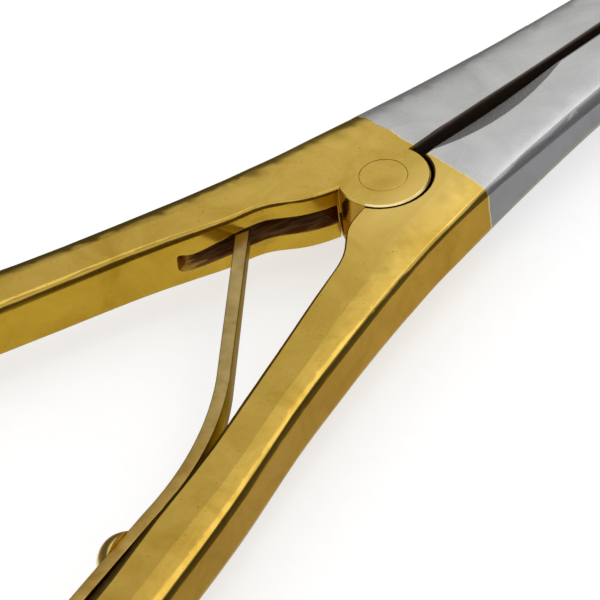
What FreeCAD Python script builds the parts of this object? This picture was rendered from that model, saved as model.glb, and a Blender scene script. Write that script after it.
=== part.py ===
import FreeCAD, Part
import math
import os
import Sketcher

# Pliers-type vaginal retractor, in millimetres
#
# Each handle runs on into the jaw of its own side, so squeezing the handles spreads the blades.
# The arms meet in a lap joint, a round knuckle of each arm lying in a pocket of the other, held
# by a flush rivet. A leaf spring is screwed to the right handle, and its free end slides in a
# slot of the left handle and pushes the handles apart.
#
# Frame: +X from the pivot to the blades, +Y to the left arm, +Z up. The pieces are drawn about
# the mid-plane of the joint and then lifted, so that the joint's flat underside is at z = 0.

doc = FreeCAD.newDocument("vaginal_retractor")
Vector = FreeCAD.Vector


# Driving sizes, and how far a cutting tool reaches past what it cuts
CLEAR = 5.0
sheet = doc.addObject("Spreadsheet::Sheet", "sizes")

SIZES = [
    ("thickness", 6.5, "handles and joint, flat face to flat face"),
    ("grind_end_x", 9.0, "where the grinding of the flat faces runs out on the jaws"),
    ("crown_lean", 0.78, "how far across the arm the outer crown's fall is steepened"),
    ("inner_rise", 0.03, "flat face's stock above the ground surface at the inner edge"),
    ("knuckle_radius", 4.85, "round knuckle of each arm"),
    ("knuckle_gap", 0.26, "open seam round the left arm's knuckle, on the upper layer"),
    ("under_gap", 0.15, "closer seam round the right arm's knuckle, on the lower layer"),
    ("seam_break", 0.2, "broken edges of the seam on the flat faces"),
    ("lap_gap", 0.06, "between the two laps of the joint"),
    ("rivet_radius", 1.8, "rivet shank"),
    ("rivet_head_radius", 2.5, "countersunk ends of the rivet"),
    ("rivet_head_depth", 0.7, "depth of the countersunk ends"),
    ("rivet_running_gap", 0.04, "rivet shank to the turning arm's bore, on the radius"),
    ("slot_width", 2.4, "spring slot, lip to lip"),
    ("slot_depth", 3.3, "spring slot, square to the handle's inner face"),
    ("slot_end_x", -4.6, "square end of the slot, open to the joint's pocket"),
    ("slot_start_x", -20.5, "point where the slot runs out towards the grip"),
    ("slot_runout", 5.5, "length of the rising run-out"),
    ("slot_runout_bow", 0.7, "bulge of the run-out's curve"),
    ("spring_thickness", 1.4, "leaf spring"),
    ("spring_root_width", 4.7, "leaf spring at the screw"),
    ("spring_tip_width", 1.9, "leaf spring in the slot"),
    ("spring_root_x", -69.0, "root end of the spring"),
    ("spring_taper_x", -52.0, "where the spring starts to narrow"),
    ("spring_bend_radius", 50.0, "bend of the spring on its middle line"),
    ("spring_free_angle", 40.4, "free run of the spring to +X, degrees"),
    ("spring_tip_x", -12.9, "free end of the spring"),
    ("spring_tip_reach", 1.36, "free end past the left handle's inner face, along Y"),
    ("screw_x", -55.9, "spring screw's place along the right handle"),
    ("seat_gap", 0.14, "spring to the handle's inner face"),
    ("screw_radius", 1.25, "spring screw's shank"),
    ("screw_hole_gap", 0.1, "spring's hole round the screw, on the radius"),
    ("screw_length", 4.6, "spring screw's shank in the handle"),
    ("screw_head_radius", 3.0, "domed head"),
    ("screw_head_height", 2.2, "domed head"),
    ("screw_slot_width", 0.6, "screwdriver slot"),
    ("screw_slot_depth", 0.6, "screwdriver slot"),
    ("bevel_x", 17.7, "middle of the filed bevel on the right jaw's inner edge"),
    ("bevel_radius", 93.0, "curve of the filed bevel along the jaw"),
    ("bevel_depth", 0.8, "stock filed off the edge at the bevel's middle"),
    ("bevel_tilt", 19.0, "bevel to the flat face, degrees"),
    ("blade_tip_x", 134.0, "rounded end of the blades"),
    ("blade_tip_length", 12.0, "length of the rounding at the blade's end"),
    ("handle_end_x", -123.0, "rounded end of the handles"),
]

# Sections across an arm, from the grip to the blade: name, x, inner face of the left and of the
# right arm, outer face, crown's pole above the flat face, outer edge below the flat face, rounding
# of the inner edge, rounding of the outer edge, hollow of the inner face, bulge of the outer face.
# What stands above the flat face is ground off.
STATIONS = [
    ("butt", -119.5, 33.4, 33.4, 40.9, 0.12, 1.25, 1.9, 0.5, 0.0, 0.1),
    ("palm", -108.0, 32.3, 32.3, 40.3, 0.12, 1.15, 2.2, 0.5, 0.0, 0.1),
    ("grip", -95.0, 30.2, 30.2, 38.5, 0.12, 1.1, 2.4, 0.5, 0.0, 0.1),
    ("hold", -82.0, 27.0, 27.0, 35.5, 0.12, 1.05, 2.4, 0.5, 0.0, 0.08),
    ("foot", -71.0, 23.8, 23.8, 32.2, 0.12, 0.95, 2.3, 0.5, 0.0, 0.06),
    ("seat", -61.0, 21.42, 21.42, 29.1, 0.12, 0.85, 1.9, 0.5, 0.0, 0.04),
    ("shin", -52.0, 19.0, 19.0, 26.3, 0.12, 0.75, 1.3, 0.5, 0.0, 0.02),
    ("knee", -42.0, 16.25, 16.25, 22.9, 0.13, 0.7, 1.1, 0.5, 0.0, 0.0),
    ("calf", -32.0, 13.15, 12.8, 19.15, 0.13, 0.7, 1.0, 0.5, 0.0, 0.0),
    ("neck", -23.0, 10.3, 9.6, 16.25, 0.13, 0.65, 0.9, 0.5, 0.0, 0.0),
    ("throat", -17.5, 8.2, 7.65, 14.6, 0.12, 0.65, 0.75, 0.5, 0.0, 0.0),
    ("lip", -14.3, 7.05, 6.6, 13.68, 0.12, 0.6, 0.65, 0.5, 0.0, 0.0),
    ("bulge", -10.8, 5.9, 5.0, 12.75, 0.12, 0.6, 0.6, 0.5, 0.0, 0.0),
    ("crotch", -8.2, 3.9, 2.95, 12.1, 0.12, 0.55, 0.5, 0.5, 0.0, 0.0),
    ("heel", -4.9, 2.25, 1.9, 11.3, 0.12, 0.55, 0.5, 0.5, 0.0, 0.0),
    ("pivot", 0.0, 1.0, 1.0, 10.35, 0.12, 0.55, 0.5, 0.5, 0.0, 0.0),
    ("border", 6.0, 0.6, 0.75, 9.35, 0.06, 0.7, 0.55, 0.55, 0.0, 0.0),
    ("cheek", 13.0, 0.5, 0.6, 8.42, -0.08, 1.0, 0.4, 0.7, 0.0, 0.0),
    ("jaw", 22.0, 0.4, 0.55, 7.35, -0.45, 1.3, 0.35, 0.8, 0.0, 0.0),
    ("shank", 32.0, 0.35, 0.5, 6.4, -0.8, 1.5, 0.4, 0.8, 0.0, 0.05),
    ("wrist", 45.0, 0.4, 0.5, 5.4, -0.9, 1.55, 0.4, 0.8, 0.0, 0.2),
    ("flare", 56.0, 0.5, 0.5, 4.45, 0.2, 0.5, 0.4, 0.7, 0.25, 0.5),
    ("root", 66.0, 0.5, 0.5, 3.6, 1.85, -1.1, 0.45, 0.6, 0.7, 0.9),
    ("vane", 76.0, 0.5, 0.5, 2.9, 3.1, -2.4, 0.45, 0.5, 1.05, 1.2),
    ("blade", 88.0, 0.5, 0.5, 2.5, 3.7, -3.05, 0.45, 0.45, 1.2, 1.35),
    ("belly", 106.0, 0.5, 0.5, 2.35, 3.75, -3.1, 0.45, 0.45, 1.2, 1.4),
]
# Hand-cut lips of the spring slot: name, distance from the slot's point, and how far the upper and
# the lower lip stand outside the straight slot
LIPS = [
    ("nose", 1.0, -0.95, 0.3),
    ("ramp", 3.0, -0.7, 0.35),
    ("sweep", 5.2, -0.1, 0.05),
    ("swell", 7.6, -0.02, 0.12),
    ("crest", 9.2, 0.06, 0.0),
    ("dip", 11.4, -0.12, -0.15),
    ("rest", 13.8, 0.0, -0.1),
]
COLUMNS = ["x", "left", "right", "outer", "rise", "drop", "break", "round", "hollow", "swell"]


def fill_sheet():
    row = 1
    for name, value, note in SIZES:
        sheet.set("A%d" % row, name)
        sheet.set("B%d" % row, str(value))
        sheet.set("C%d" % row, note)
        sheet.setAlias("B%d" % row, name)
        row += 1
    for station in STATIONS:
        sheet.set("A%d" % row, station[0])
        for column, letter, value in zip(COLUMNS, "BCDEFGHIJK", station[1:]):
            sheet.set("%s%d" % (letter, row), str(value))
            sheet.setAlias("%s%d" % (letter, row), "%s_%s" % (station[0], column))
        row += 1
    for name, *values in LIPS:
        sheet.set("A%d" % row, name)
        for column, letter, value in zip(("reach", "upper", "lower"), "BCD", values):
            sheet.set("%s%d" % (letter, row), str(value))
            sheet.setAlias("%s%d" % (letter, row), "%s_%s" % (name, column))
        row += 1
    doc.recompute()


def size(name):
    return float(sheet.get(name))


# Small helpers for the document tree
def bind(thing, **expressions):
    for key, expression in expressions.items():
        thing.setExpression(key.replace("__", "."), expression)
    return thing


def cylinder(name, radius, height, low):
    thing = doc.addObject("Part::Cylinder", name)
    return bind(thing, Radius=radius, Height=height, Placement__Base__z=low)


# A short cone from one radius, at the middle of the arm's thickness, to another at the flat face
def cone(name, near, far, low, under):
    thing = doc.addObject("Part::Cone", name)
    radii = (far, near) if under else (near, far)
    return bind(thing, Radius1=radii[0], Radius2=radii[1], Height="sizes.seam_break",
                Placement__Base__z=low)


def combine(kind, name, base, tool):
    thing = doc.addObject("Part::" + kind, name)
    thing.Base = base
    thing.Tool = tool
    if kind == "Fuse":
        thing.Refine = True
    return thing


# Section of an arm at one station
def bezier(first, middle, last):
    curve = Part.BezierCurve()
    curve.setPoles([first, middle, last])
    return curve.toShape()


def section_wire(side, x, inner, outer, brow, crest, edge, inner_round, outer_round, hollow, swell):
    def at(y, z):
        return Vector(x, side * y, z)

    wall_top = brow - inner_round
    shoulder = inner + inner_round
    crown = shoulder + size("crown_lean") * (outer - shoulder)
    fall = at(outer, edge) - at(crown, crest)
    crown_end = at(outer, edge) - fall * (outer_round / fall.Length)
    crown_end_under = Vector(x, crown_end.y, -crown_end.z)
    edges = [
        bezier(at(inner, -wall_top), at(inner + 2 * hollow, 0), at(inner, wall_top)),
        bezier(at(inner, wall_top), at(inner, brow), at(shoulder, brow)),
        bezier(at(shoulder, brow), at(crown, crest), crown_end),
        bezier(crown_end, at(outer, edge), at(outer, edge - outer_round)),
        bezier(at(outer, edge - outer_round), at(outer + 2 * swell, 0), at(outer, outer_round - edge)),
        bezier(at(outer, outer_round - edge), at(outer, -edge), crown_end_under),
        bezier(crown_end_under, at(crown, -crest), at(shoulder, -brow)),
        bezier(at(shoulder, -brow), at(inner, -brow), at(inner, -wall_top)),
    ]
    return Part.Wire(edges)


def station_values(name, arm):
    half = size("thickness") / 2
    x, inner, outer, rise, drop, inner_round, outer_round, hollow, swell = [
        size("%s_%s" % (name, key))
        for key in ("x", arm, "outer", "rise", "drop", "break", "round", "hollow", "swell")]
    brow = half + min(rise, size("inner_rise"))
    return [x, inner, outer, brow, half + rise, half - drop, inner_round, outer_round, hollow, swell]


# Rounded ends: the last full section shrinks along a quarter circle
END_ANGLES = [32, 56, 74, 84]
BUTT_FLATNESS = 0.45


def butt_sections(side, arm):
    x, inner, outer, *heights, hollow, swell = station_values("butt", arm)
    brow, crest, edge, inner_round, outer_round = heights
    reach = x - size("handle_end_x")
    middle = (inner + outer) / 2
    half = (outer - inner) / 2
    wires = []
    for angle in reversed(END_ANGLES):
        narrow = math.cos(math.radians(angle))
        low = BUTT_FLATNESS + (1 - BUTT_FLATNESS) * narrow
        wires.append(section_wire(side, x - reach * math.sin(math.radians(angle)),
                                  middle - half * narrow, middle + half * narrow,
                                  brow * low, crest * low, edge * low,
                                  inner_round * narrow, outer_round * narrow,
                                  hollow, swell * narrow))
    return wires


def tip_sections(side, arm):
    x, inner, outer, *heights, hollow, swell = station_values("belly", arm)
    length = size("blade_tip_length")
    start = size("blade_tip_x") - length
    wires = [section_wire(side, start, inner, outer, *heights, hollow, swell)]
    for angle in END_ANGLES:
        narrow = math.cos(math.radians(angle))
        flat = 1 - narrow ** 2
        wires.append(section_wire(side, start + length * math.sin(math.radians(angle)),
                                  inner + hollow * flat, outer + swell * flat / 2,
                                  *[height * narrow for height in heights],
                                  hollow * narrow ** 2, swell * narrow ** 2))
    return wires


def arm_blank(arm, side):
    wires = butt_sections(side, arm)
    wires += [section_wire(side, *station_values(station[0], arm)) for station in STATIONS]
    wires += tip_sections(side, arm)
    sections = []
    for number, wire in enumerate(wires):
        section = doc.addObject("Part::Feature", "%s_section_%02d" % (arm, number))
        section.Shape = wire
        sections.append(section)
    blank = doc.addObject("Part::Loft", arm + "_blank")
    blank.Sections = sections
    blank.Solid = True
    blank.Ruled = False
    return blank


# The flat faces are ground: all stock above and below the thickness goes
def ground(arm, blank):
    result = blank
    for face, low in (("top", "sizes.thickness / 2"), ("under", "-sizes.thickness * 1.5")):
        stock = doc.addObject("Part::Box", "%s_%s_stock" % (arm, face))
        bind(stock, Length="sizes.grind_end_x - sizes.handle_end_x", Width="sizes.grip_outer * 4",
             Height="sizes.thickness", Placement__Base__x="sizes.handle_end_x",
             Placement__Base__y="-sizes.grip_outer * 2", Placement__Base__z=low)
        result = combine("Cut", "%s_%s_ground" % (arm, face), result, stock)
    return result


# Half lap: the knuckle on this arm's layer, the pocket for the other's knuckle on the other layer
def lapped(arm, blank, knuckle_up):
    lap = "sizes.thickness / 2 - sizes.lap_gap / 2 - sizes.seam_break"
    pocket_radius = "sizes.knuckle_radius + sizes." + ("under_gap" if knuckle_up else "knuckle_gap")
    rim_low = "sizes.thickness / 2 - sizes.seam_break"
    under_rim = "sizes.seam_break - sizes.thickness / 2"
    if knuckle_up:
        lap_low, pocket_low, flare_low = "sizes.lap_gap / 2", "-sizes.thickness", "-sizes.thickness / 2"
    else:
        lap_low, pocket_low, flare_low = under_rim, "-sizes.lap_gap / 2", rim_low
    pocket = cylinder(arm + "_pocket", pocket_radius, "sizes.thickness + sizes.lap_gap / 2", pocket_low)
    flare = cone(arm + "_pocket_rim", pocket_radius, pocket_radius + " + sizes.seam_break",
                 flare_low, knuckle_up)
    knuckle = cylinder(arm + "_knuckle", "sizes.knuckle_radius", lap, lap_low)
    top_low = rim_low if knuckle_up else "-sizes.thickness / 2"
    top = cone(arm + "_knuckle_rim", "sizes.knuckle_radius", "sizes.knuckle_radius - sizes.seam_break",
               top_low, not knuckle_up)
    result = combine("Cut", arm + "_pocketed", blank, pocket)
    result = combine("Cut", arm + "_pocket_broken", result, flare)
    result = combine("Fuse", arm + "_lapped", result, knuckle)
    return combine("Fuse", arm + "_knuckle_broken", result, top)


# Rivet bore through both laps, countersunk on the lap that the arm owns
def bored(arm, blank, gap):
    shank = "sizes.rivet_radius + " + gap
    rim = "sizes.rivet_head_radius + " + gap
    bore = cylinder(arm + "_bore", shank, "sizes.thickness * 2", "-sizes.thickness")
    drilled = combine("Cut", arm + "_drilled", blank, bore)
    sink = doc.addObject("Part::Cone", arm + "_countersink")
    if arm == "left":
        low, radii = "sizes.thickness / 2 - sizes.rivet_head_depth", (shank, rim)
    else:
        low, radii = "-sizes.thickness / 2", (rim, shank)
    bind(sink, Radius1=radii[0], Radius2=radii[1], Height="sizes.rivet_head_depth",
         Placement__Base__z=low)
    return combine("Cut", arm + "_bored", drilled, sink)


# Plan geometry shared by the slot, the spring and its screw
def unit(degrees):
    return Vector(math.cos(math.radians(degrees)), math.sin(math.radians(degrees)), 0)


def face_line(first, last, arm, side):
    start = Vector(size(first + "_x"), side * size("%s_%s" % (first, arm)), 0)
    end = Vector(size(last + "_x"), side * size("%s_%s" % (last, arm)), 0)
    return start, (end - start).normalize()


def at_x(point, direction, x):
    return point + direction * ((x - point.x) / direction.x)


def crossing(point, direction, other, other_direction):
    spread = direction.x * other_direction.y - direction.y * other_direction.x
    apart = other - point
    return point + direction * ((apart.x * other_direction.y - apart.y * other_direction.x) / spread)


# Slot of the left handle: open to the joint's pocket, rising run-out towards the grip
def extruded(name, wire, direction, length):
    outline = doc.addObject("Part::Feature", name + "_outline")
    outline.Shape = wire
    thing = doc.addObject("Part::Extrusion", name)
    thing.Base = outline
    thing.DirMode = "Custom"
    thing.Dir = direction
    thing.Solid = True
    thing.Symmetric = True
    return bind(thing, LengthFwd=length)


def slot_plan():
    throat, along = face_line("throat", "crotch", "left", 1)
    inward = Vector(-along.y, along.x, 0)
    depth = inward * size("slot_depth")
    outside = inward * -CLEAR
    end = at_x(throat, along, size("slot_end_x"))
    mouth = at_x(*face_line("neck", "throat", "left", 1), size("slot_start_x"))
    deep = at_x(throat, along, size("slot_start_x") + size("slot_runout")) + depth
    rise = (deep + mouth) * 0.5 + inward * size("slot_runout_bow")
    return Part.Wire([
        Part.makeLine(end + outside, end + depth),
        Part.makeLine(end + depth, deep),
        Part.Arc(deep, rise, mouth).toShape(),
        Part.makeLine(mouth, mouth + outside),
        Part.makeLine(mouth + outside, end + outside),
    ])


def lip_poles(lip, up):
    start, half = size("slot_start_x"), size("slot_width") / 2
    points = [Vector(start, 0, 0), Vector(start, 0, up * half)]
    for name, *values in LIPS:
        points.append(Vector(start + size(name + "_reach"), 0, up * (half + size("%s_%s" % (name, lip)))))
    points.append(Vector(size("slot_end_x") + CLEAR, 0, up * half))
    return points


def slot_cutter():
    plan = extruded("slot_plan", slot_plan(), Vector(0, 0, 1), "sizes.thickness")
    upper, lower = Part.BSplineCurve(), Part.BSplineCurve()
    upper_poles = lip_poles("upper", 1)
    lower_poles = lip_poles("lower", -1)[::-1]
    upper.buildFromPoles(upper_poles)
    lower.buildFromPoles(lower_poles)
    side = Part.Wire([upper.toShape(), Part.makeLine(upper_poles[-1], lower_poles[0]), lower.toShape()])
    lips = extruded("slot_lips", side, Vector(0, 1, 0), "sizes.grip_outer * 2")
    return combine("Common", "slot_cutter", plan, lips)


# Bevel filed on the inner edge of the right jaw, a shallow barrel cut that dies out at both ends
def filed_bevel():
    tilt = math.radians(size("bevel_tilt"))
    square = Vector(0, math.sin(tilt), math.cos(tilt))
    across = Vector(0, math.cos(tilt), -math.sin(tilt))
    edge = Vector(size("bevel_x"), -size("cheek_right"), size("thickness") / 2 + size("cheek_rise"))
    centre = edge + square * (size("bevel_radius") - size("bevel_depth"))
    tool = doc.addObject("Part::Cylinder", "bevel_file")
    bind(tool, Radius="sizes.bevel_radius", Height="sizes.thickness * 2")
    tool.Placement = FreeCAD.Placement(centre - across * size("thickness"),
                                       FreeCAD.Rotation(Vector(0, 0, 1), across))
    return tool


# Leaf spring: seated run on the right handle, one bend, free run into the slot
def seat_line():
    face, seat_way = face_line("foot", "shin", "right", -1)
    off_face = Vector(-seat_way.y, seat_way.x, 0)
    return face, seat_way, off_face


def spring_seat():
    face, seat_way, off_face = seat_line()
    return face + off_face * (size("seat_gap") + size("spring_thickness") / 2)


def spring_path():
    seat, seat_way = spring_seat(), seat_line()[1]
    throat, along = face_line("throat", "crotch", "left", 1)
    free_way = unit(size("spring_free_angle"))
    tip = at_x(throat, along, size("spring_tip_x")) + Vector(0, size("spring_tip_reach"), 0)
    corner = crossing(seat, seat_way, tip, free_way)
    turn = seat_way.getAngle(free_way)
    reach = size("spring_bend_radius") * math.tan(turn / 2)
    bend_start = corner - seat_way * reach
    bend_end = corner + free_way * reach
    bow = size("spring_bend_radius") * (1 / math.cos(turn / 2) - 1)
    inside = (free_way - seat_way).normalize()
    path = doc.addObject("Part::Feature", "spring_path")
    path.Shape = Part.Wire([
        Part.makeLine(at_x(seat, seat_way, size("spring_root_x")), bend_start),
        Part.Arc(bend_start, corner + inside * bow, bend_end).toShape(),
        Part.makeLine(bend_end, tip),
    ])
    return path


def leaf_spring():
    face, seat_way, off_face = seat_line()
    half_width = size("spring_root_width") / 2
    half_thick = off_face * (size("spring_thickness") / 2)
    start = at_x(spring_seat(), seat_way, size("spring_root_x"))
    up = Vector(0, 0, half_width)
    corners = [start + half_thick + up, start - half_thick + up,
               start - half_thick - up, start + half_thick - up]
    strip_end = doc.addObject("Part::Feature", "spring_strip_end")
    strip_end.Shape = Part.makePolygon(corners + corners[:1])
    strip = doc.addObject("Part::Sweep", "spring_strip")
    strip.Sections = [strip_end]
    strip.Spine = (spring_path(), [])
    strip.Solid = True
    strip.Frenet = False
    strip.Transition = "Right corner"

    # Side view: full width to the bend, then a straight taper to the tip
    tip_half = size("spring_tip_width") / 2
    low_x = size("spring_root_x") - CLEAR
    side = [(low_x, half_width), (size("spring_taper_x"), half_width),
            (size("spring_tip_x"), tip_half), (size("spring_tip_x") + CLEAR, tip_half)]
    outline = [Vector(x, 0, z) for x, z in side]
    outline += [Vector(x, 0, -z) for x, z in reversed(side)]
    taper = extruded("spring_taper", Part.makePolygon(outline + outline[:1]), Vector(0, 1, 0),
                     "sizes.grip_outer * 2")
    tapered = combine("Common", "spring_tapered", strip, taper)
    hole = screw_cylinder("spring_hole", "sizes.screw_radius + sizes.screw_hole_gap",
                          2 * CLEAR, -CLEAR)
    return combine("Cut", "spring_drilled", tapered, hole)


# The screw stands square to the right handle's inner face; z along it points into the gap
def screw_frame():
    face, seat_way, off_face = seat_line()
    rotation = FreeCAD.Rotation(seat_way, Vector(0, 0, -1), off_face, "ZXY")
    return FreeCAD.Placement(at_x(face, seat_way, size("screw_x")), rotation)


def screw_cylinder(name, radius, height, low):
    thing = doc.addObject("Part::Cylinder", name)
    bind(thing, Radius=radius)
    thing.Height = height
    thing.Placement = screw_frame() * FreeCAD.Placement(Vector(0, 0, low), FreeCAD.Rotation())
    return thing


# Turned pieces: a half profile spun about the sketch's upright axis
def origin_part(body, role):
    return [feature for feature in body.Origin.OriginFeatures if feature.Role == role][0]


def turned_body(name, edges, sizes_of_points):
    body = doc.addObject("PartDesign::Body", name)
    sketch = body.newObject("Sketcher::SketchObject", name + "_profile")
    sketch.AttachmentSupport = [(origin_part(body, "XZ_Plane"), "")]
    sketch.MapMode = "FlatFace"
    for edge in edges:
        sketch.addGeometry(edge, False)
    for number in range(len(edges)):
        following = (number + 1) % len(edges)
        sketch.addConstraint(Sketcher.Constraint("Coincident", number, 2, following, 1))
    for number, (across, along) in enumerate(sizes_of_points):
        for kind, axis, expression in (("DistanceX", -2, across), ("DistanceY", -1, along)):
            if expression == "0":
                sketch.addConstraint(Sketcher.Constraint("PointOnObject", number, 1, axis))
            else:
                value = edges[number].StartPoint[0 if kind == "DistanceX" else 1]
                place = sketch.addConstraint(Sketcher.Constraint(kind, -1, 1, number, 1, value))
                sketch.setExpression("Constraints[%d]" % place, expression)
    spin = body.newObject("PartDesign::Revolution", name + "_turned")
    spin.Profile = sketch
    spin.ReferenceAxis = (sketch, ["V_Axis"])
    spin.Angle = 360
    body.Tip = spin
    return body


def half_profile(points):
    corners = [Vector(across, along, 0) for across, along in points]
    return [Part.LineSegment(corner, corners[(number + 1) % len(corners)])
            for number, corner in enumerate(corners)]


def pivot_rivet():
    half = size("thickness") / 2
    shank, rim = size("rivet_radius"), size("rivet_head_radius")
    neck = half - size("rivet_head_depth")
    edges = half_profile([(0, -half), (rim, -half), (shank, -neck), (shank, neck), (rim, half), (0, half)])
    low, high = "-sizes.thickness / 2", "sizes.thickness / 2"
    head = "sizes.rivet_head_radius"
    return turned_body("rivet_body", edges, [
        ("0", low), (head, low), ("sizes.rivet_radius", low + " + sizes.rivet_head_depth"),
        ("sizes.rivet_radius", high + " - sizes.rivet_head_depth"), (head, high), ("0", high)])


def spring_screw():
    shank, rim = size("screw_radius"), size("screw_head_radius")
    dome = size("screw_head_height")
    length = size("screw_length")
    edges = half_profile([(0, -length), (shank, -length), (shank, 0), (rim, 0)])[:3]
    ball = (rim ** 2 + dome ** 2) / (2 * dome)
    round_top = Part.Circle(Vector(0, dome - ball, 0), Vector(0, 0, 1), ball)
    start = math.atan2(ball - dome, rim)
    edges.append(Part.ArcOfCircle(round_top, -start if dome > ball else start, math.pi / 2))
    edges.append(Part.LineSegment(Vector(0, dome, 0), Vector(0, -length, 0)))
    body = turned_body("screw_body", edges, [
        ("0", "-sizes.screw_length"), ("sizes.screw_radius", "-sizes.screw_length"),
        ("sizes.screw_radius", "0"), ("sizes.screw_head_radius", "0"),
        ("0", "sizes.screw_head_height")])
    profile = doc.getObject("screw_body_profile")
    profile.addConstraint(Sketcher.Constraint("PointOnObject", 3, 3, -2))
    notch = doc.addObject("Part::Box", "screw_notch")
    bind(notch, Length="sizes.screw_head_radius * 2", Width="sizes.screw_slot_width",
         Height="sizes.screw_slot_depth * 2",
         Placement__Base__x="-sizes.screw_head_radius", Placement__Base__y="-sizes.screw_slot_width / 2",
         Placement__Base__z="sizes.screw_head_height - sizes.screw_slot_depth")
    return combine("Cut", "screw_notched", body, notch)


# Build every piece, then lift it so that the joint's underside is at z = 0
def finish(name, piece, place):
    piece.Label = name
    piece.Placement = lift * place
    return piece


def arm(name, side, knuckle_up, gap):
    blank = ground(name, arm_blank(name, side))
    if side < 0:
        blank = combine("Cut", name + "_bevelled", blank, filed_bevel())
    return bored(name, lapped(name, blank, knuckle_up), gap)


fill_sheet()
left = combine("Cut", "left_slotted", arm("left", 1, True, "0"), slot_cutter())
screw_bore = screw_cylinder("screw_bore", "sizes.screw_radius",
                            size("screw_length") + CLEAR, -size("screw_length"))
right = combine("Cut", "right_tapped", arm("right", -1, False, "sizes.rivet_running_gap"), screw_bore)
spring = leaf_spring()
screw = spring_screw()
rivet = pivot_rivet()
doc.recompute()

lift = FreeCAD.Placement(Vector(0, 0, size("thickness") / 2), FreeCAD.Rotation())
as_drawn = FreeCAD.Placement()
on_spring = FreeCAD.Placement(Vector(0, 0, size("seat_gap") + size("spring_thickness")), FreeCAD.Rotation())
pieces = [
    finish("left_arm", left, as_drawn),
    finish("right_arm", right, as_drawn),
    finish("leaf_spring", spring, as_drawn),
    finish("spring_screw", screw, screw_frame() * on_spring),
    finish("pivot_rivet", rivet, as_drawn),
]
doc.recompute()

failed = [thing.Name for thing in doc.Objects if "Invalid" in thing.State or "Error" in thing.State]
if failed:
    raise RuntimeError("not recomputed: " + ", ".join(failed))
for piece in pieces:
    shape = piece.Shape
    if shape.isNull() or not shape.isValid():
        raise RuntimeError(piece.Label + " has no valid shape")
    print(piece.Label, "solids", len(shape.Solids), "volume", round(shape.Volume, 1),
          "box", [round(value, 2) for value in (shape.BoundBox.XMin, shape.BoundBox.XMax,
                                                 shape.BoundBox.YMin, shape.BoundBox.YMax,
                                                 shape.BoundBox.ZMin, shape.BoundBox.ZMax)])

os.makedirs("parts", exist_ok=True)
for piece in pieces:
    piece.Shape.exportStep("parts/%s.step" % piece.Label)
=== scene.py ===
# %% [markdown]
# # A spring-loaded retractor, plated gold behind the joint
# Two forged arms cross at a riveted box joint. Squeezing the handles spreads
# the jaws, and a leaf spring screwed to one arm closes them again. The measured
# model comes first, because every finish and every small part is placed on it.

# %% Load the measured model
import math
from types import SimpleNamespace

import bmesh
import bpy
from mathutils import Matrix, Vector


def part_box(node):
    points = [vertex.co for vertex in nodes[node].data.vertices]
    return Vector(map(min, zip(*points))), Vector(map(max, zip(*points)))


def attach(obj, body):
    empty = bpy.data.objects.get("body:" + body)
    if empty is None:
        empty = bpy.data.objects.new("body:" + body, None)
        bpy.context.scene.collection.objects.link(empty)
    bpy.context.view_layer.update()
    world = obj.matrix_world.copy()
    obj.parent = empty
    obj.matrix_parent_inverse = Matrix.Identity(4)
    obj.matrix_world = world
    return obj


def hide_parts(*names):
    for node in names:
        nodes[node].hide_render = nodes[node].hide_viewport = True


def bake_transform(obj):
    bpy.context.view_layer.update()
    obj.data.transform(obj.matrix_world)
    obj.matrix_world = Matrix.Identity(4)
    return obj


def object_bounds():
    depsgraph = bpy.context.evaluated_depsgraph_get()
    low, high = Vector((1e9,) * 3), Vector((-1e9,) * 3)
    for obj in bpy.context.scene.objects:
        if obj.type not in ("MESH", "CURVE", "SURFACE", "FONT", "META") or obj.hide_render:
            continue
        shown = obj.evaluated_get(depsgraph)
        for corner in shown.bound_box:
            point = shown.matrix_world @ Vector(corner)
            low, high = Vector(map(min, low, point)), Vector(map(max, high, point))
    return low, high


MM = 0.001
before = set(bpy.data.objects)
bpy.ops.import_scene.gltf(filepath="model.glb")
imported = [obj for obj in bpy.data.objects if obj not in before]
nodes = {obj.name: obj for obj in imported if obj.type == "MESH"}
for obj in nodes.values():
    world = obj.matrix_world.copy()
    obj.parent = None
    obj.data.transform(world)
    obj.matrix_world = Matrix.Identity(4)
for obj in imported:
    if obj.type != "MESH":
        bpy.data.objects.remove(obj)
cad_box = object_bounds()
print("pieces of the model:", sorted(nodes))

# %% [markdown]
# ## The camera
# The tool is photographed from the handle side, a little under half of a right
# angle above the bench, through a long lens. A long lens far away keeps the two
# arms equally thick, so it is used here too, with a small roll.

# %% Set up the camera
AZIMUTH, ELEVATION, ROLL = math.radians(-41.4), math.radians(40.1), math.radians(5.9)
AIM = Vector((-19.2, -7.2, 6.5)) * MM
DISTANCE = 2.0
lens = bpy.data.cameras.new("long_lens")
lens.sensor_width = 36.0
lens.lens = 1200.0
lens.clip_end = 20.0
camera = bpy.data.objects.new("camera", lens)
bpy.context.scene.collection.objects.link(camera)
sight = Vector((
    -math.sin(AZIMUTH) * math.cos(ELEVATION),
    math.cos(AZIMUTH) * math.cos(ELEVATION),
    -math.sin(ELEVATION),
))
level = Vector((math.cos(AZIMUTH), math.sin(AZIMUTH), 0.0))
upright = level.cross(sight)
across = level * math.cos(ROLL) - upright * math.sin(ROLL)
overhead = level * math.sin(ROLL) + upright * math.cos(ROLL)
turn = Matrix((across, overhead, -sight)).transposed().to_4x4()
camera.matrix_world = Matrix.Translation(AIM - sight * DISTANCE) @ turn
bpy.context.scene.camera = camera
print("camera looks along", [round(v, 3) for v in sight])

# %% [markdown]
# ## A few helpers for materials
# Every finish below is a small web of nodes. A few helpers keep the webs short:
# among them, one adds a node, one adds a noise pattern, one turns a range of a
# value into another, and one turns a value into colours.

# %% Helpers for the node webs


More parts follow.
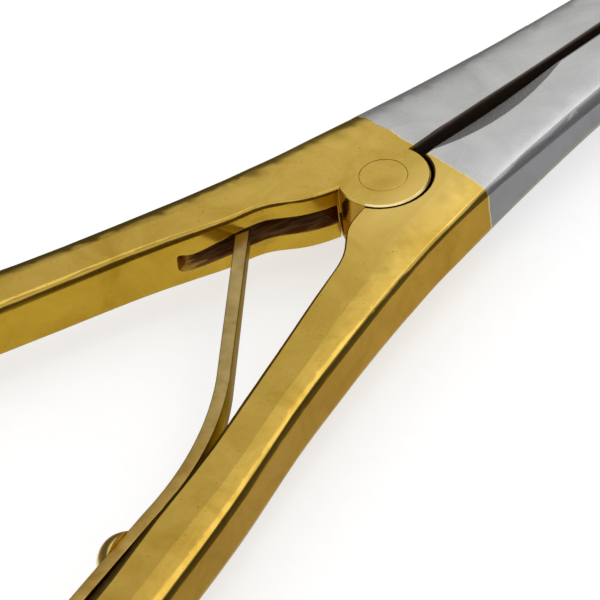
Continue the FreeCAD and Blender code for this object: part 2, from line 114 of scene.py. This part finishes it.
def new_finish(name):
    """A material with nothing in its web but the shader; gives the material, tree and shader."""
    material = bpy.data.materials.new(name)
    material.use_nodes = True
    tree = material.node_tree
    return material, tree, tree.nodes["Principled BSDF"]


def add(tree, kind, inputs=None, **settings):
    """Adds a node, sets it up, and joins or fills the inputs given by name or number."""
    node = tree.nodes.new("ShaderNode" + kind)
    for key, value in settings.items():
        setattr(node, key, value)
    for key, value in (inputs or {}).items():
        if isinstance(value, bpy.types.NodeSocket):
            tree.links.new(value, node.inputs[key])
        else:
            node.inputs[key].default_value = value
    return node


def place_on(tree, stretch=(1, 1, 1)):
    """The piece's own coordinates in millimetres, stretched along each axis."""
    source = add(tree, "TexCoord").outputs["Object"]
    scale = [s / MM for s in stretch]
    return add(tree, "Mapping", {"Vector": source, "Scale": scale}).outputs[0]


def noise(tree, place, size, detail=3.0, roughness=0.5, distortion=0.0):
    """A cloudy value from 0 to 1 whose clouds are about size millimetres across."""
    return add(tree, "TexNoise", {
        "Vector": place, "Scale": 1.0 / size, "Detail": detail,
        "Roughness": roughness, "Distortion": distortion,
    }).outputs[0]


def sums(tree, operation, *values):
    """One step of arithmetic on values or sockets."""
    return add(tree, "Math", dict(enumerate(values)), operation=operation).outputs[0]


def spread(tree, value, low, high, to_low=0.0, to_high=1.0, soft=False):
    """Turns the range low to high of a value into the range to_low to to_high."""
    node = add(tree, "MapRange", {0: value, 1: low, 2: high, 3: to_low, 4: to_high})
    if soft:
        node.interpolation_type = "SMOOTHSTEP"
    return node.outputs[0]


def ramp(tree, value, *stops):
    """Colours by value; each stop is a place and its red, green and blue."""
    node = add(tree, "ValToRGB", {0: value})
    marks = node.color_ramp.elements
    while len(marks) < len(stops):
        marks.new(0.5)
    for mark, (place, colour) in zip(marks, stops):
        mark.position = place
        mark.color = (*colour, 1.0)
    return node.outputs[0]


def mixed(tree, share, first, second):
    """Blends two colours, or two sockets of colour, by a share from 0 to 1."""
    node = add(tree, "Mix", data_type="RGBA")
    for key, value in ((0, share), (6, first), (7, second)):
        if isinstance(value, bpy.types.NodeSocket):
            tree.links.new(value, node.inputs[key])
        elif key:
            node.inputs[key].default_value = (*value, 1.0)
        else:
            node.inputs[key].default_value = value
    return node.outputs[2]


print("helpers ready")

# %% [markdown]
# ## The plated arms
# Each arm is one forging. The grips and the joint were dipped and plated gold,
# and the jaws were masked off, so they show bare polished steel beyond a thin
# wandering border just ahead of the joint. The flat faces were polished hard,
# and the sides only ground; their colour is also darkened as painted shade,
# the outer sides most. The slot's walls are brown, partly their own colour and
# partly painted shade of the recess. The joint's seam, the gap between the jaws
# and the handle's edge behind the spring are painted near black as painted
# shade. A pale band beside the knuckle, a pale line along the plating's edge and
# the knuckle's rim are painted highlights. One material tells all these apart
# by the arm's own coordinates and by which way the surface faces on the arm,
# because the arms are solids whose shape is already right and only need to be
# told where each finish lies. Each such place is a mask, a value from 0 to 1,
# and masks are multiplied where they overlap.

# %% Read a point on an arm
BORDER, BORDER_BLUR, BORDER_WANDER = 5.35, 0.05, 0.4
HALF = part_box("pivot_rivet")[1].z / MM / 2


def within(tree, value, low, high):
    """1 where a value lies between two bounds, otherwise 0."""
    above = sums(tree, "GREATER_THAN", value, low)
    return sums(tree, "MULTIPLY", above, sums(tree, "LESS_THAN", value, high))


def overlap(tree, *masks):
    """The product of masks: 1 only where every one is 1."""
    result = masks[0]
    for mask in masks[1:]:
        result = sums(tree, "MULTIPLY", result, mask)
    return result


def off(tree, value, middle):
    """How far a value lies from a middle, to either side."""
    return sums(tree, "ABSOLUTE", sums(tree, "SUBTRACT", value, middle))


def point_on_arm(tree):
    """What the finish asks of a point: where it is, in millimetres, and which way it faces."""
    place = place_on(tree)
    x, y, z = add(tree, "SeparateXYZ", {0: place}).outputs
    facing = add(tree, "SeparateXYZ", {0: add(tree, "TexCoord").outputs["Normal"]}).outputs
    upright = sums(tree, "ABSOLUTE", facing[2])
    ragged = noise(tree, place, 2.2, 3.0, 0.6)
    edge = sums(tree, "ADD", x, spread(tree, ragged, 0.0, 1.0, -BORDER_WANDER, BORDER_WANDER))
    return SimpleNamespace(
        place=place, x=x, y=y, z=z, edge=edge,
        radius=sums(tree, "SQRT", sums(tree, "MULTIPLY_ADD", x, x, sums(tree, "MULTIPLY", y, y))),
        to_left=facing[1],
        outward=sums(tree, "MULTIPLY", sums(tree, "SIGN", y), facing[1]),
        side=spread(tree, upright, 0.25, 0.6, 1.0, 0.0, soft=True),
        level=sums(tree, "GREATER_THAN", upright, 0.5),
        steel=spread(tree, edge, BORDER - BORDER_BLUR, BORDER + BORDER_BLUR, soft=True),
    )


print("joint is", round(2 * HALF, 2), "mm thick; plating ends at", BORDER, "mm")

# %% Mask the slot, the seam, the gap and the spring's seat
SLOT_NOSE, SLOT_END, SLOT_SLOPE, SLOT_TALL = -21.0, -4.6, 0.468, 1.9
SLOT_MOUTH, SLOT_DEEP, SLOT_BACK, SLOT_SIDE = 0.5, 2.0, 4.6, 0.5
SEAM_NEAR, SEAM_FAR, SEAM_RIM, RIM_WIDTH = 4.7, 5.4, 5.08, 0.16
SEAM_START, SEAM_SIDE, SEAM_FOOT = -1.9, -0.3, 0.1
GAP_HALF, GAP_START, GAP_END = 1.6, 4.0, 60.0
ROOT_NEAR, ROOT_END = -43.0, -33.0


def slot_mask(tree, at):
    """1 on the walls of the spring slot."""
    inward = sums(tree, "MULTIPLY_ADD", at.x, SLOT_SLOPE, at.y)
    # The slot's brown, partly painted shade of the recess, sets in with depth.
    deep = spread(tree, inward, SLOT_MOUTH, SLOT_DEEP, soft=True)
    wall = sums(tree, "MAXIMUM", deep, at.level)
    height = within(tree, at.z, HALF - SLOT_TALL, HALF + SLOT_TALL)
    in_arm = sums(tree, "LESS_THAN", inward, SLOT_BACK)
    on_left = sums(tree, "GREATER_THAN", at.y, SLOT_SIDE)
    return overlap(tree, wall, height, in_arm, on_left, within(tree, at.x, SLOT_NOSE, SLOT_END))


def open_seam(tree, at):
    """1 on that part of the top where the upper knuckle's seam is open."""
    limit = spread(tree, at.x, -5.0, 0.0, SEAM_START, SEAM_SIDE)
    above = sums(tree, "GREATER_THAN", at.z, HALF + SEAM_FOOT)
    return overlap(tree, sums(tree, "LESS_THAN", at.y, limit), above)


def seam_mask(tree, at, opened):
    """1 on both walls of the open seam and on its outer rim, which are painted dark as painted shade."""
    walls = sums(tree, "MULTIPLY", within(tree, at.radius, SEAM_NEAR, SEAM_FAR), at.side)
    rim = within(tree, at.radius, SEAM_RIM, SEAM_RIM + RIM_WIDTH)
    return sums(tree, "MULTIPLY", sums(tree, "MAXIMUM", walls, rim), opened)


def gap_mask(tree, at):
    """1 on the walls of the gap between the jaws, and on the left jaw's rounded inner edge; there painted
    shade darkens the gap and hides that edge's highlight.
    """
    on_left = sums(tree, "GREATER_THAN", at.y, 0.0)
    rounding = sums(tree, "MULTIPLY", spread(tree, at.outward, -0.35, -0.12, 1.0, 0.0), on_left)
    wall = sums(tree, "MAXIMUM", at.side, rounding)
    across = within(tree, at.y, -GAP_HALF, GAP_HALF)
    return overlap(tree, across, within(tree, at.x, GAP_START, GAP_END), wall)


def root_mask(tree, at):
    """1 on the right handle's rounded inner edge where the spring lies against it; painted shade goes
    there.
    """
    near = spread(tree, at.x, ROOT_NEAR, ROOT_END, 1.0, 0.0, soft=True)
    on_right = sums(tree, "LESS_THAN", at.y, 0.0)
    return overlap(tree, near, on_right, spread(tree, at.to_left, 0.18, 0.5, soft=True))


print("slot from", SLOT_NOSE, "to", SLOT_END, "mm; gap from", GAP_START, "to", GAP_END, "mm")

# %% Colour the gold and the steel
GOLD_LIGHT, GOLD, GOLD_DEEP = (0.56, 0.385, 0.088), (0.50, 0.335, 0.066), (0.43, 0.275, 0.044)
# The first colour is a painted highlight for the band beside the knuckle; the second is the brown of
# pits.
PAINTED_GOLD_HIGHLIGHT, PIT_BROWN = (0.66, 0.475, 0.13), (0.28, 0.16, 0.02)
HANDLE_TINT, GRIP_TINT = (0.84, 0.82, 0.74), (0.92, 0.90, 0.88)
# Painted shade: these tints darken the inner and outer side faces.
INNER_SIDE_SHADE, OUTER_SIDE_SHADE = (1.0, 0.94, 0.48), (0.72, 0.62, 0.40)
STEEL_LIGHT, STEEL, STEEL_DEEP = (0.50, 0.50, 0.50), (0.46, 0.46, 0.462), (0.42, 0.42, 0.423)
# Painted shade: this tint darkens the steel's side faces.
STEEL_SIDE_SHADE = (0.50, 0.52, 0.57)
# Painted highlight: where the pale band beside the knuckle fades and how strong it is.
HIGHLIGHT_NEAR, HIGHLIGHT_FAR, HIGHLIGHT_MOST = 5.2, 12.0, 0.8


def times(tree, colour, share, tint):
    """Darkens a colour by a tint, as far as share says."""
    node = add(tree, "Mix", data_type="RGBA", blend_type="MULTIPLY")
    tree.links.new(share, node.inputs[0])
    tree.links.new(colour, node.inputs[6])
    node.inputs[7].default_value = (*tint, 1.0)
    return node.outputs[2]


def gold_look(tree, at, clouds, specks):
    """Mottled gold, pitted, deeper towards the grips, with a painted highlight beside the knuckle and
    painted shade on the sides.
    """
    gold = ramp(tree, clouds, (0.3, GOLD_DEEP), (0.5, GOLD), (0.72, GOLD_LIGHT))
    gold = mixed(tree, spread(tree, specks, 0.66, 0.72, 0.0, 0.6), gold, PIT_BROWN)
    gold = times(tree, gold, spread(tree, at.x, -30.0, -4.0, 1.0, 0.0, soft=True), HANDLE_TINT)
    gold = times(tree, gold, spread(tree, at.x, -70.0, -35.0, 1.0, 0.0, soft=True), GRIP_TINT)
    # A pale band beside the knuckle on the flat faces is a painted highlight.
    by_knuckle = spread(tree, at.radius, HIGHLIGHT_NEAR, HIGHLIGHT_FAR, HIGHLIGHT_MOST, 0.0, soft=True)
    painted_highlight = overlap(tree, by_knuckle, spread(tree, at.y, -1.0, -4.0), at.level)
    gold = mixed(tree, painted_highlight, gold, PAINTED_GOLD_HIGHLIGHT)
    # The side faces are darkened as painted shade, the outer ones most.
    outside = spread(tree, at.outward, -0.2, 0.2)
    inside = sums(tree, "SUBTRACT", 1.0, outside)
    gold = times(tree, gold, sums(tree, "MULTIPLY", at.side, outside), OUTER_SIDE_SHADE)
    return times(tree, gold, sums(tree, "MULTIPLY", at.side, inside), INNER_SIDE_SHADE)


def steel_look(tree, at, clouds):
    """Faintly mottled steel, its sides darkened as painted shade."""
    steel = ramp(tree, clouds, (0.3, STEEL_DEEP), (0.5, STEEL), (0.72, STEEL_LIGHT))
    return times(tree, steel, at.side, STEEL_SIDE_SHADE)


print("gold and steel ready")

# %% Lay the painted rim highlights, the rivet's outline and the colours of the slot and the painted shade
# Painted highlight: the pale colour along the plating's edge and on the knuckle's rim.
RIM_HIGHLIGHT, KNUCKLE_RIM, RIVET_RIM = (0.80, 0.66, 0.36), 4.74, 2.5
# The slot's brown and red are partly the walls' own colour and partly painted shade of the recess.
SLOT_BROWN, SLOT_RED, SLOT_GOLD = (0.17, 0.058, 0.012), (0.36, 0.20, 0.085), (0.85, 0.55, 0.14)
# Painted shade: the near-black brown laid in the seam, between the jaws and behind the spring.
PAINTED_SHADE, PAINTED_SHADE_MOST = (0.035, 0.016, 0.005), 0.93
ARM_COS, ARM_SIN = 0.95, 0.31


def along_arms(tree, at, squeeze):
    """Coordinates that run along each handle, squeezed so that noise becomes streaks."""
    apart = sums(tree, "ABSOLUTE", at.y)
    along = sums(tree, "MULTIPLY_ADD", at.x, ARM_COS, sums(tree, "MULTIPLY", apart, -ARM_SIN))
    across = sums(tree, "MULTIPLY_ADD", at.x, ARM_SIN, sums(tree, "MULTIPLY", apart, ARM_COS))
    squeezed = sums(tree, "MULTIPLY", along, squeeze)
    return add(tree, "CombineXYZ", {0: squeezed, 1: across, 2: at.z}).outputs[0]


def with_rims(tree, at, colour, opened):
    """Adds a pale painted highlight along the plating's border and on the knuckle's rim, and the rivet's
    broken outline.
    """
    # Painted highlights: a pale line along the plating's edge and a pale ring on the knuckle's rim.
    border = spread(tree, off(tree, at.edge, BORDER), 0.0, 0.13, 0.75, 0.0)
    colour = mixed(tree, border, colour, RIM_HIGHLIGHT)
    rim = overlap(tree, within(tree, at.radius, KNUCKLE_RIM - 0.1, KNUCKLE_RIM + 0.1), opened, at.level)
    colour = mixed(tree, sums(tree, "MULTIPLY", rim, 0.6), colour, RIM_HIGHLIGHT)
    ring = spread(tree, off(tree, at.radius, RIVET_RIM), 0.02, 0.09, 0.5, 0.0)
    broken = spread(tree, noise(tree, at.place, 1.3, 2.0), 0.52, 0.62)
    return mixed(tree, overlap(tree, ring, broken, at.level), colour, PIT_BROWN)


def slot_look(tree, at):
    """Streaks of brown and red along the slot, with bare gold at its nose."""
    streaks = noise(tree, along_arms(tree, at, 0.18), 0.45, 2.0, 0.6)
    brown = mixed(tree, spread(tree, streaks, 0.45, 0.65), SLOT_BROWN, SLOT_RED)
    patchy = sums(tree, "ADD", streaks, spread(tree, at.x, -20.5, -15.0, -0.25, 0.25))
    return mixed(tree, spread(tree, patchy, 0.38, 0.52, 1.0, 0.0), brown, SLOT_GOLD)


print("rims and grime ready")

# %% Put the arm's finish together
GLOSS_CLEAR, GLOSS_DULL = 0.10, 0.16
STEEL_DULLER, SIDE_DULLER, CREVICE_DULLER = 0.12, 0.05, 0.25
STEEL_METAL, SLOT_METAL, GLANCING_TINT = 0.82, 0.3, (0.9, 0.8, 0.6, 1.0)
SOFT_EDGE, RELIEF_DEPTH, RELIEF_STRENGTH, STEEL_RELIEF = 0.12, 0.10, 0.35, 0.35


def arm_roughness(tree, at, clouds, scratches, crevice_mask):
    """Polish that varies in clouds and fine scratches, duller on steel, sides, the slot and the crevices
    painted dark.
    """
    dull = spread(tree, clouds, 0.3, 0.75, GLOSS_DULL, GLOSS_CLEAR)
    dull = sums(tree, "ADD", dull, spread(tree, scratches, 0.4, 0.75, -0.01, 0.06))
    dull = sums(tree, "MULTIPLY_ADD", at.steel, STEEL_DULLER, dull)
    dull = sums(tree, "MULTIPLY_ADD", at.side, SIDE_DULLER, dull)
    return sums(tree, "MULTIPLY_ADD", crevice_mask, CREVICE_DULLER, dull)


def arm_normal(tree, at, scratches, specks):
    """Shallow dents, scratches and pits on edges softened by handling."""
    small, large = noise(tree, at.place, 1.2, 2.0), noise(tree, at.place, 4.5, 2.0)
    dents = sums(tree, "MULTIPLY_ADD", small, 0.16, large)
    relief = sums(tree, "MULTIPLY_ADD", scratches, 0.012, dents)
    relief = sums(tree, "MULTIPLY_ADD", specks, 0.01, relief)
    relief = sums(tree, "MULTIPLY", relief, spread(tree, at.steel, 0.0, 1.0, 1.0, STEEL_RELIEF))
    soft_edge = add(tree, "Bevel", {"Radius": SOFT_EDGE * MM}, samples=8).outputs[0]
    return add(tree, "Bump", {
        "Height": relief, "Strength": RELIEF_STRENGTH, "Distance": RELIEF_DEPTH * MM, "Normal": soft_edge,
    }).outputs[0]


def plated_finish():
    material, tree, shader = new_finish("plated_arm")
    at = point_on_arm(tree)
    clouds = noise(tree, at.place, 5.5, 6.0, 0.6, 0.8)
    specks = noise(tree, at.place, 0.33, 2.0, 0.6)
    scratches = noise(tree, along_arms(tree, at, 0.04), 0.2, 3.0, 0.65)
    opened, slot = open_seam(tree, at), slot_mask(tree, at)
    # Painted shade: the seam, the gap between the jaws and the spring's root.
    painted_shade_mask = sums(tree, "MAXIMUM", seam_mask(tree, at, opened), gap_mask(tree, at))
    painted_shade_mask = sums(tree, "MAXIMUM", painted_shade_mask, root_mask(tree, at))

    colour = mixed(tree, at.steel, gold_look(tree, at, clouds, specks), steel_look(tree, at, clouds))
    colour = with_rims(tree, at, colour, opened)
    colour = mixed(tree, slot, colour, slot_look(tree, at))
    colour = mixed(tree, sums(tree, "MULTIPLY", painted_shade_mask, PAINTED_SHADE_MOST), colour, PAINTED_SHADE)
    tree.links.new(colour, shader.inputs["Base Color"])

    bare = spread(tree, at.steel, 0.0, 1.0, 1.0, STEEL_METAL)
    metal = sums(tree, "MULTIPLY", bare, spread(tree, slot, 0.0, 1.0, 1.0, SLOT_METAL))
    tree.links.new(metal, shader.inputs["Metallic"])
    shader.inputs["Specular Tint"].default_value = GLANCING_TINT
    crevice_mask = sums(tree, "MAXIMUM", slot, painted_shade_mask)
    tree.links.new(arm_roughness(tree, at, clouds, scratches, crevice_mask), shader.inputs["Roughness"])
    tree.links.new(arm_normal(tree, at, scratches, specks), shader.inputs["Normal"])
    return material


def dress(name, material):
    """Gives a piece of the model its finish in place of the plain one."""
    nodes[name].data.materials.clear()
    nodes[name].data.materials.append(material)


arm_finish = plated_finish()
dress("left_arm", arm_finish)
dress("right_arm", arm_finish)
dress("pivot_rivet", arm_finish)
print("arm finish:", len(arm_finish.node_tree.nodes), "nodes")

# %% [markdown]
# ## The leaf spring
# The spring is a strip of hard steel under a thin plate of gold, satin and tan,
# with grinding lines along it. It bends as the handles close, which a rigid
# model can't do. So a copy of the model's own strip is cut across every
# millimetre and given rounded edges.

# %% Round the strip's edges and cut it across every millimetre
MERGE, STRIP_EDGE, STRIP_STEP = 0.0005 * MM, 0.12 * MM, 1.0 * MM


def merged_copy(name, title):
    """A copy of one piece of the model, its loose triangles joined into one skin."""
    shape = bmesh.new()
    shape.from_mesh(nodes[name].data)
    bmesh.ops.remove_doubles(shape, verts=shape.verts, dist=MERGE)
    bmesh.ops.recalc_face_normals(shape, faces=shape.faces)
    print(title, "joined to", len(shape.verts), "points")
    return shape


def stand(shape, title, material):
    """Puts a finished shape on the stage as a piece of its own."""
    data = bpy.data.meshes.new(title)
    shape.to_mesh(data)
    shape.free()
    piece = bpy.data.objects.new(title, data)
    bpy.context.scene.collection.objects.link(piece)
    data.materials.append(material)
    return piece


def sharp_edges(shape, degrees):
    """Edges whose two faces meet at more than an angle."""
    limit = math.radians(degrees)
    return [e for e in shape.edges if len(e.link_faces) == 2 and e.calc_face_angle() > limit]


strip = merged_copy("leaf_spring", "leaf_spring_strip")
bmesh.ops.dissolve_limit(strip, angle_limit=math.radians(1.0), verts=strip.verts, edges=strip.edges)
bmesh.ops.bevel(strip, geom=sharp_edges(strip, 40), offset=STRIP_EDGE, offset_type="OFFSET",
                segments=3, profile=0.5, affect="EDGES", material=-1, clamp_overlap=True)
low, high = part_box("leaf_spring")
cut_x = low.x + STRIP_STEP
while cut_x < high.x:
    bmesh.ops.bisect_plane(strip, geom=strip.verts[:] + strip.edges[:] + strip.faces[:],
                           plane_co=(cut_x, 0, 0), plane_no=(1, 0, 0))
    cut_x += STRIP_STEP
bmesh.ops.triangulate(strip, faces=strip.faces)
print("strip has", len(strip.faces), "faces")

# %% Make the strip's finish
TAN_LIGHT, TAN, TAN_DEEP = (0.43, 0.32, 0.135), (0.36, 0.262, 0.10), (0.27, 0.185, 0.06)
ROOT_TINT, TAN_GLANCING = (0.95, 0.84, 0.58), (0.45, 0.35, 0.17, 1.0)


def strip_finish():
    material, tree, shader = new_finish("spring_strip")
    place = place_on(tree)
    lines = noise(tree, place_on(tree, (0.06, 0.06, 1.0)), 0.16, 3.0, 0.6)
    clouds = noise(tree, place, 2.5, 5.0, 0.65)
    colour = ramp(tree, clouds, (0.3, TAN_DEEP), (0.5, TAN), (0.72, TAN_LIGHT))
    x = add(tree, "SeparateXYZ", {0: place}).outputs[0]
    colour = times(tree, colour, spread(tree, x, -45.0, -30.0, 1.0, 0.0, soft=True), ROOT_TINT)
    tree.links.new(colour, shader.inputs["Base Color"])
    shader.inputs["Metallic"].default_value = 1.0
    shader.inputs["Specular Tint"].default_value = TAN_GLANCING
    tree.links.new(spread(tree, lines, 0.3, 0.75, 0.28, 0.42), shader.inputs["Roughness"])
    bump = add(tree, "Bump", {"Height": lines, "Strength": 0.3, "Distance": 0.01 * MM})
    tree.links.new(bump.outputs[0], shader.inputs["Normal"])
    return material


spring = stand(strip, "leaf_spring_strip", strip_finish())
for face in spring.data.polygons:
    face.use_smooth = True
spring.data.set_sharp_from_angle(angle=math.radians(35))
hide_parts("leaf_spring")
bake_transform(spring)

# %% [markdown]
# ## The spring's screw
# A small domed screw clamps the strip. It was turned and polished brighter than
# the strip, and its slot's edges are worn round by the screwdriver. The model's
# own screw has the right shape, so a copy of it gets every sharp edge rounded,
# and then a bright finish of its own with fine marks of wear.

# %% Round the screw's edges and polish it
SCREW_EDGE = 0.07 * MM
screw_shape = merged_copy("spring_screw", "spring_screw_head")
bmesh.ops.dissolve_limit(screw_shape, angle_limit=math.radians(0.5),
                         verts=screw_shape.verts, edges=screw_shape.edges)
bmesh.ops.bevel(screw_shape, geom=sharp_edges(screw_shape, 35), offset=SCREW_EDGE, offset_type="OFFSET",
                segments=3, profile=0.5, affect="EDGES", material=-1, clamp_overlap=True)
bmesh.ops.triangulate(screw_shape, faces=screw_shape.faces)

# %% Make the screw's finish
SCREW_LIGHT, SCREW, SCREW_DEEP = (0.78, 0.60, 0.20), (0.66, 0.48, 0.13), (0.52, 0.35, 0.07)


def screw_finish():
    material, tree, shader = new_finish("spring_screw")
    place = place_on(tree)
    clouds = noise(tree, place, 1.2, 4.0, 0.6)
    colour = ramp(tree, clouds, (0.3, SCREW_DEEP), (0.5, SCREW), (0.75, SCREW_LIGHT))
    tree.links.new(colour, shader.inputs["Base Color"])
    shader.inputs["Metallic"].default_value = 1.0
    tree.links.new(spread(tree, clouds, 0.3, 0.7, 0.24, 0.14), shader.inputs["Roughness"])
    marks = noise(tree, place, 0.12, 2.0)
    bump = add(tree, "Bump", {"Height": marks, "Strength": 0.25, "Distance": 0.01 * MM})
    tree.links.new(bump.outputs[0], shader.inputs["Normal"])
    return material


screw = stand(screw_shape, "spring_screw_head", screw_finish())
for face in screw.data.polygons:
    face.use_smooth = True
screw.data.set_sharp_from_angle(angle=math.radians(40))
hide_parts("spring_screw")
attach(screw, "right_half")
print("screw has", len(screw.data.polygons), "faces")

# %% [markdown]
# ## The sheet and the tent
# The tool lies on a white sheet in a white tent, as small polished tools are
# photographed. The camera sees plain white behind. A mirror sees the tent
# itself: bright under its roof, white half way up and dim at bench height, and
# that is what draws the light and dark lines along polished metal. The sheet is
# lifted to white by its own material and not by more lamps, so the tool's soft
# shadow stays on it. Mirrored at a flat angle it is shown dim, like a bench far
# off, which carries the dark line on round every edge.

# %% Lay the sheet
PALE, SHEET_LIFT, SHEET_HALF, SHEET_DROP = 0.50, 0.60, 3.0, 0.05 * MM
DIM_START, DIM_FULL, DIM_LEVEL = 0.50, 0.72, 0.2


def seen_directly(tree):
    """1 for what the camera sees, itself or in a mirror; then 1 only for itself, and only in a mirror."""
    path = add(tree, "LightPath").outputs
    mirror = sums(tree, "MAXIMUM", path["Is Glossy Ray"], path["Is Transmission Ray"])
    return sums(tree, "MAXIMUM", path["Is Camera Ray"], mirror), path["Is Camera Ray"], mirror


grid = bmesh.new()
bmesh.ops.create_grid(grid, x_segments=8, y_segments=8, size=SHEET_HALF)
sheet_z = cad_box[0].z - SHEET_DROP
bmesh.ops.translate(grid, verts=grid.verts, vec=(0, 0, sheet_z))
sheet_finish, tree, shader = new_finish("white_sheet")
fibres = noise(tree, place_on(tree), 1.5, 3.0)
white = ramp(tree, fibres, (0.3, (PALE - 0.01,) * 3), (0.7, (PALE + 0.01,) * 3))
tree.links.new(white, shader.inputs["Base Color"])
shader.inputs["Roughness"].default_value = 0.9
shader.inputs["Specular IOR Level"].default_value = 0.0
seen, _, by_mirror = seen_directly(tree)
flat = spread(tree, add(tree, "LayerWeight").outputs["Facing"], DIM_START, DIM_FULL, soft=True)
dimmed = sums(tree, "MULTIPLY", by_mirror, flat)
lift = sums(tree, "MULTIPLY", seen, SHEET_LIFT)
glow = add(tree, "Emission", {"Color": (1, 1, 1, 1), "Strength": lift})
lifted = add(tree, "AddShader", {0: shader.outputs[0], 1: glow.outputs[0]})
dim = add(tree, "Emission", {"Color": (1, 1, 1, 1), "Strength": DIM_LEVEL})
either = add(tree, "MixShader", {0: dimmed, 1: lifted.outputs[0], 2: dim.outputs[0]})
tree.links.new(either.outputs[0], tree.nodes["Material Output"].inputs["Surface"])
sheet = stand(grid, "white_sheet", sheet_finish)
print("sheet at", round(sheet_z / MM, 2), "mm")

# %% Pitch the tent
TENT_BRIGHTEST, PLAIN_LEVEL = 2.0, 0.85
TENT = [(-0.4, 0.2), (0.0, 0.12), (0.25, 0.12), (0.36, 0.17), (0.45, 0.88), (0.54, 1.04),
        (0.645, 0.98), (0.69, 1.04), (0.735, 1.5), (0.77, 1.5), (0.81, 1.0), (0.85, 0.85)]
world = bpy.data.worlds.new("tent")
bpy.context.scene.world = world
world.use_nodes = True
tree = world.node_tree
height = add(tree, "SeparateXYZ", {0: add(tree, "TexCoord").outputs["Generated"]}).outputs[2]
steps = [((rise + 1) / 2, (level_there / TENT_BRIGHTEST,) * 3) for rise, level_there in TENT]
mirrored = sums(tree, "MULTIPLY", ramp(tree, spread(tree, height, -1.0, 1.0), *steps), TENT_BRIGHTEST)
seen, by_camera, _ = seen_directly(tree)
shown = spread(tree, by_camera, 0.0, 1.0, mirrored, 1.0)
strength = spread(tree, seen, 0.0, 1.0, PLAIN_LEVEL, shown)
tree.links.new(strength, tree.nodes["Background"].inputs["Strength"])
tree.nodes["Background"].inputs["Color"].default_value = (1, 1, 1, 1)

# %% Hang the lamp


def soft_lamp(name, direction, size, power, distance=1.2):
    """A square soft lamp that shines on the tool from a direction."""
    lamp = bpy.data.lights.new(name, "AREA")
    lamp.shape = "SQUARE"
    lamp.size = size
    lamp.energy = power
    thing = bpy.data.objects.new(name, lamp)
    spot = Vector(direction).normalized()
    thing.location = spot * distance
    thing.rotation_euler = (-spot).to_track_quat("-Z", "Y").to_euler()
    bpy.context.scene.collection.objects.link(thing)
    return thing


key = soft_lamp("roof_lamp", (0.45, -0.1, 0.88), 0.7, 1.6)
bpy.context.scene.view_settings.view_transform = "Standard"
print("lamp:", key.name)
